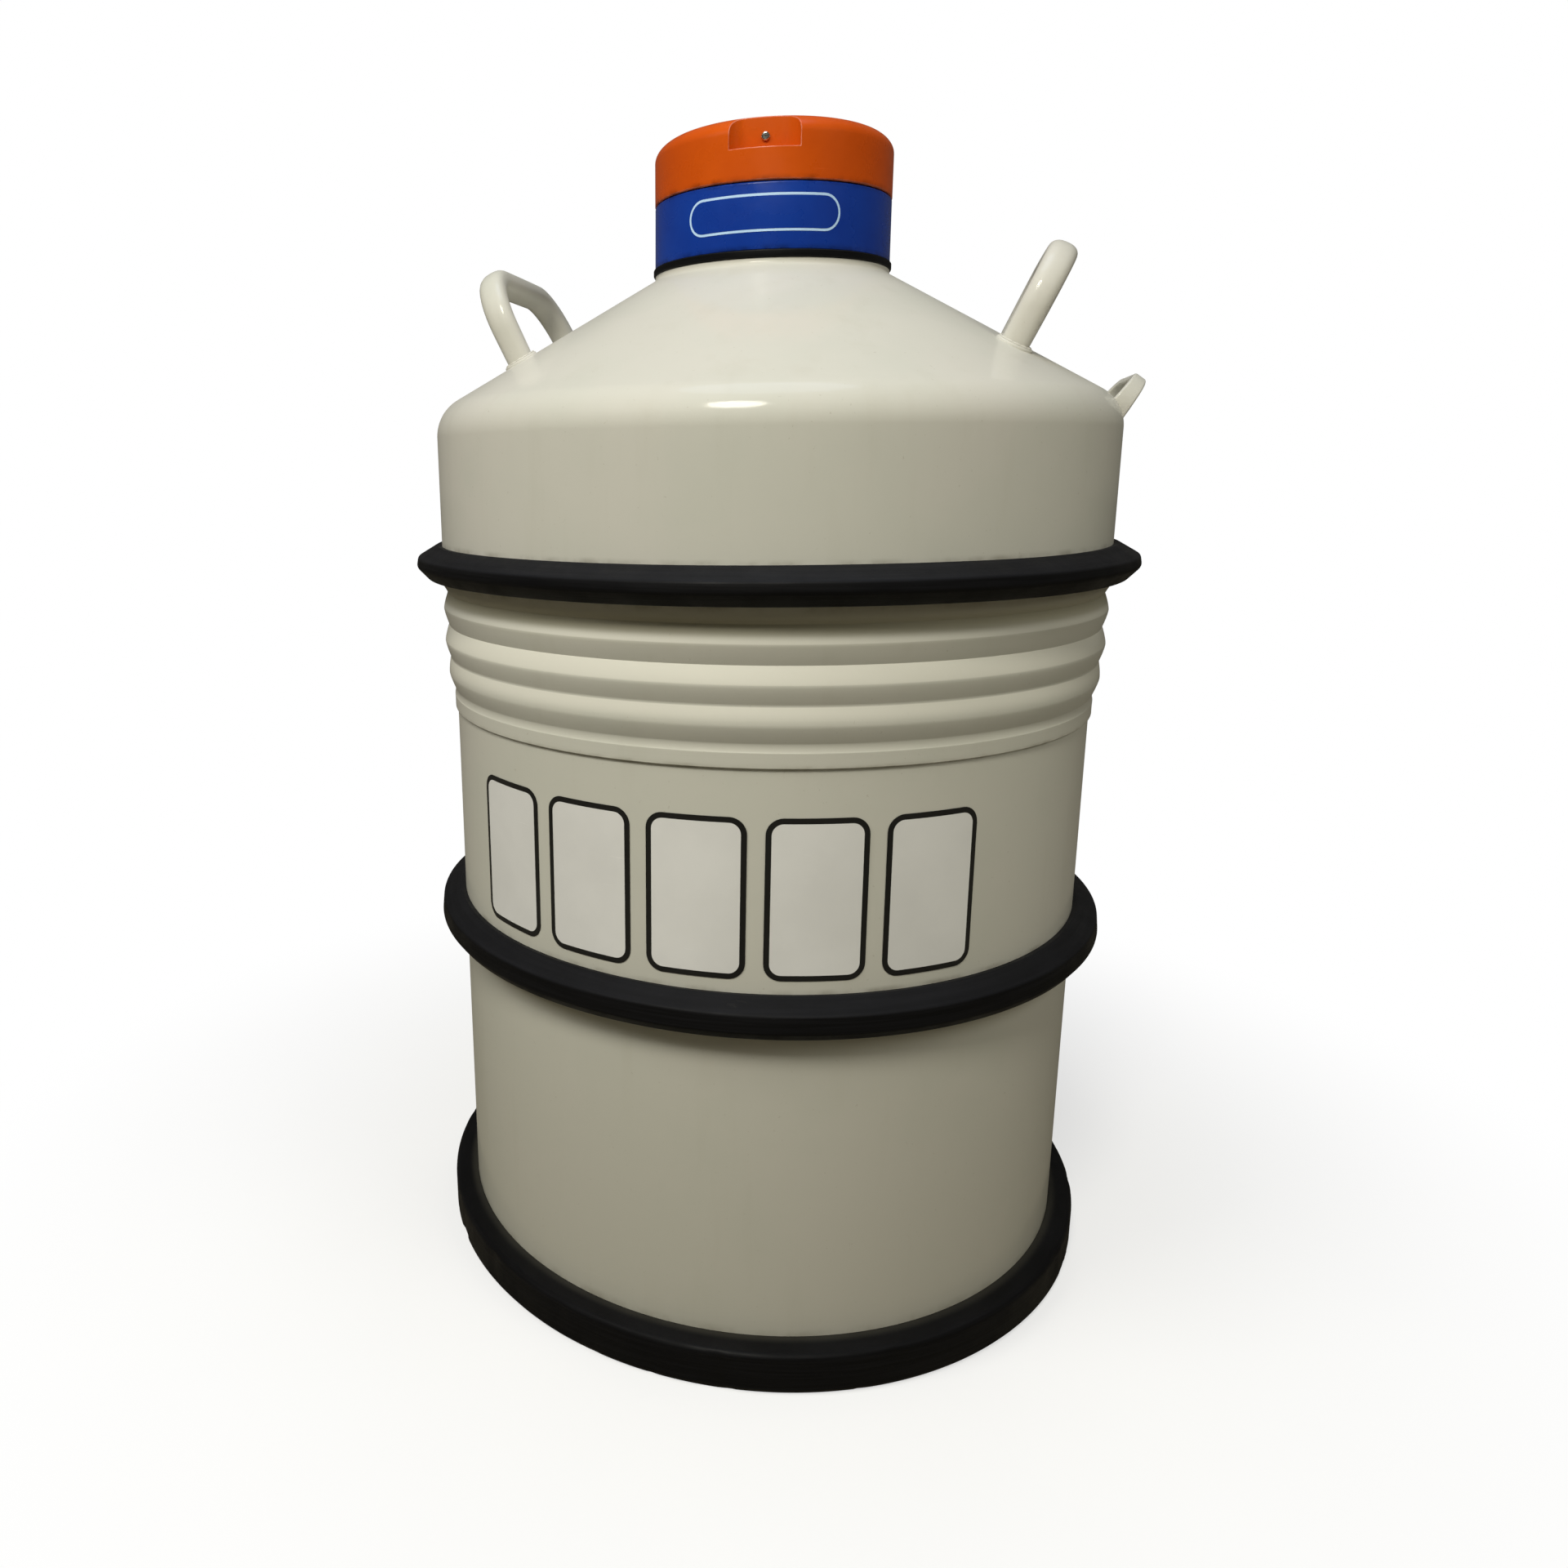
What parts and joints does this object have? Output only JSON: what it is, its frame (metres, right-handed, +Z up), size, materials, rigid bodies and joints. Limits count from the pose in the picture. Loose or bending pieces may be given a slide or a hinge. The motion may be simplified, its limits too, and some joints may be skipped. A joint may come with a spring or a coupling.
{
  "type": "liquid nitrogen dewar",
  "caption": "Vacuum-insulated liquid nitrogen storage dewar with a lift-off cap, welded handles, rubber bumpers and lifting canisters inside.",
  "frame": {"origin": "centre of the base on the floor", "axes": "+Z up along the neck; -Y is the front with the cap recess; the carrying handles stand on -X and +X"},
  "size_m": [0.432, 0.432, 0.675],
  "materials": {
    "body_paint": "semi-gloss cream-grey enamel, slightly orange-peeled",
    "black_rubber": "satin black rubber extrusion, scuffed",
    "bare_aluminium": "spun and turned bare aluminium",
    "blue_plastic": "smooth royal blue moulded plastic",
    "orange_plastic": "moulded orange plastic, satin, slightly dusty",
    "neck_laminate": "glass-fibre epoxy laminate",
    "white_plastic": "natural white plastic",
    "foil_blanket": "crinkled aluminised foil and glass paper layers",
    "adsorbent_cloth": "woven glass cloth pouch",
    "foam": "closed-cell rigid foam, faintly cellular",
    "plated_steel": "zinc plated steel",
    "canister_steel": "drawn stainless steel",
    "grip_plastic": "moulded grip",
    "black_plastic": "moulded black dust cap"
  },
  "bodies": {
    "vessel": {"outer_shell_upper": "body_paint", "outer_shell_lower": "body_paint", "upper_bumper": "black_rubber", "middle_bumper": "black_rubber", "base_ring": "black_rubber", "neck_collar": "bare_aluminium", "neck_gasket": "black_rubber", "neck_sleeve": "blue_plastic", "neck_tube": "neck_laminate", "index_ring": "white_plastic", "inner_vessel_upper": "bare_aluminium", "inner_vessel_lower": "bare_aluminium", "insulation_blanket": "foil_blanket", "adsorbent_pack": "adsorbent_cloth", "support_socket": "bare_aluminium", "support_post": "neck_laminate", "getter_packet": "adsorbent_cloth", "canister_spider": "bare_aluminium", "port_tube": "bare_aluminium", "port_plug": "bare_aluminium", "port_o_ring": "black_rubber", "tilting_handle": "body_paint", "left_handle": "body_paint", "left_handle_lugs": "body_paint", "right_handle": "body_paint", "right_handle_lugs": "body_paint"},
    "cap": {"cap_shell": "orange_plastic", "recess_screw": "plated_steel", "plug_carrier": "white_plastic", "carrier_screws": "plated_steel", "cap_liner": "foam", "neck_plug": "foam"},
    "port_cap": {"port_cap": "black_plastic"},
    "canister_1": {"canister_1_cup": "canister_steel", "canister_1_rod": "canister_steel", "canister_1_grip": "grip_plastic"},
    "canister_2": {"canister_2_cup": "canister_steel", "canister_2_rod": "canister_steel", "canister_2_grip": "grip_plastic"},
    "canister_3": {"canister_3_cup": "canister_steel", "canister_3_rod": "canister_steel", "canister_3_grip": "grip_plastic"},
    "canister_4": {"canister_4_cup": "canister_steel", "canister_4_rod": "canister_steel", "canister_4_grip": "grip_plastic"},
    "canister_5": {"canister_5_cup": "canister_steel", "canister_5_rod": "canister_steel", "canister_5_grip": "grip_plastic"},
    "canister_6": {"canister_6_cup": "canister_steel", "canister_6_rod": "canister_steel", "canister_6_grip": "grip_plastic"}
  },
  "joints": [
    {"name": "cap_lift", "type": "slide", "parent": "vessel", "child": "cap", "axis": [0, 0, 1], "range_m": [0, 0.2]},
    {"name": "port_cap_pull", "type": "slide", "parent": "vessel", "child": "port_cap", "axis": [0, 0.4909, 0.8712], "range_m": [0, 0.02]},
    {"name": "canister_1_lift", "type": "slide", "parent": "vessel", "child": "canister_1", "axis": [0, 0, 1], "range_m": [0, 0.01]},
    {"name": "canister_2_lift", "type": "slide", "parent": "vessel", "child": "canister_2", "axis": [0, 0, 1], "range_m": [0, 0.01]},
    {"name": "canister_3_lift", "type": "slide", "parent": "vessel", "child": "canister_3", "axis": [0, 0, 1], "range_m": [0, 0.01]},
    {"name": "canister_4_lift", "type": "slide", "parent": "vessel", "child": "canister_4", "axis": [0, 0, 1], "range_m": [0, 0.01]},
    {"name": "canister_5_lift", "type": "slide", "parent": "vessel", "child": "canister_5", "axis": [0, 0, 1], "range_m": [0, 0.01]},
    {"name": "canister_6_lift", "type": "slide", "parent": "vessel", "child": "canister_6", "axis": [0, 0, 1], "range_m": [0, 0.01]}
  ]
}
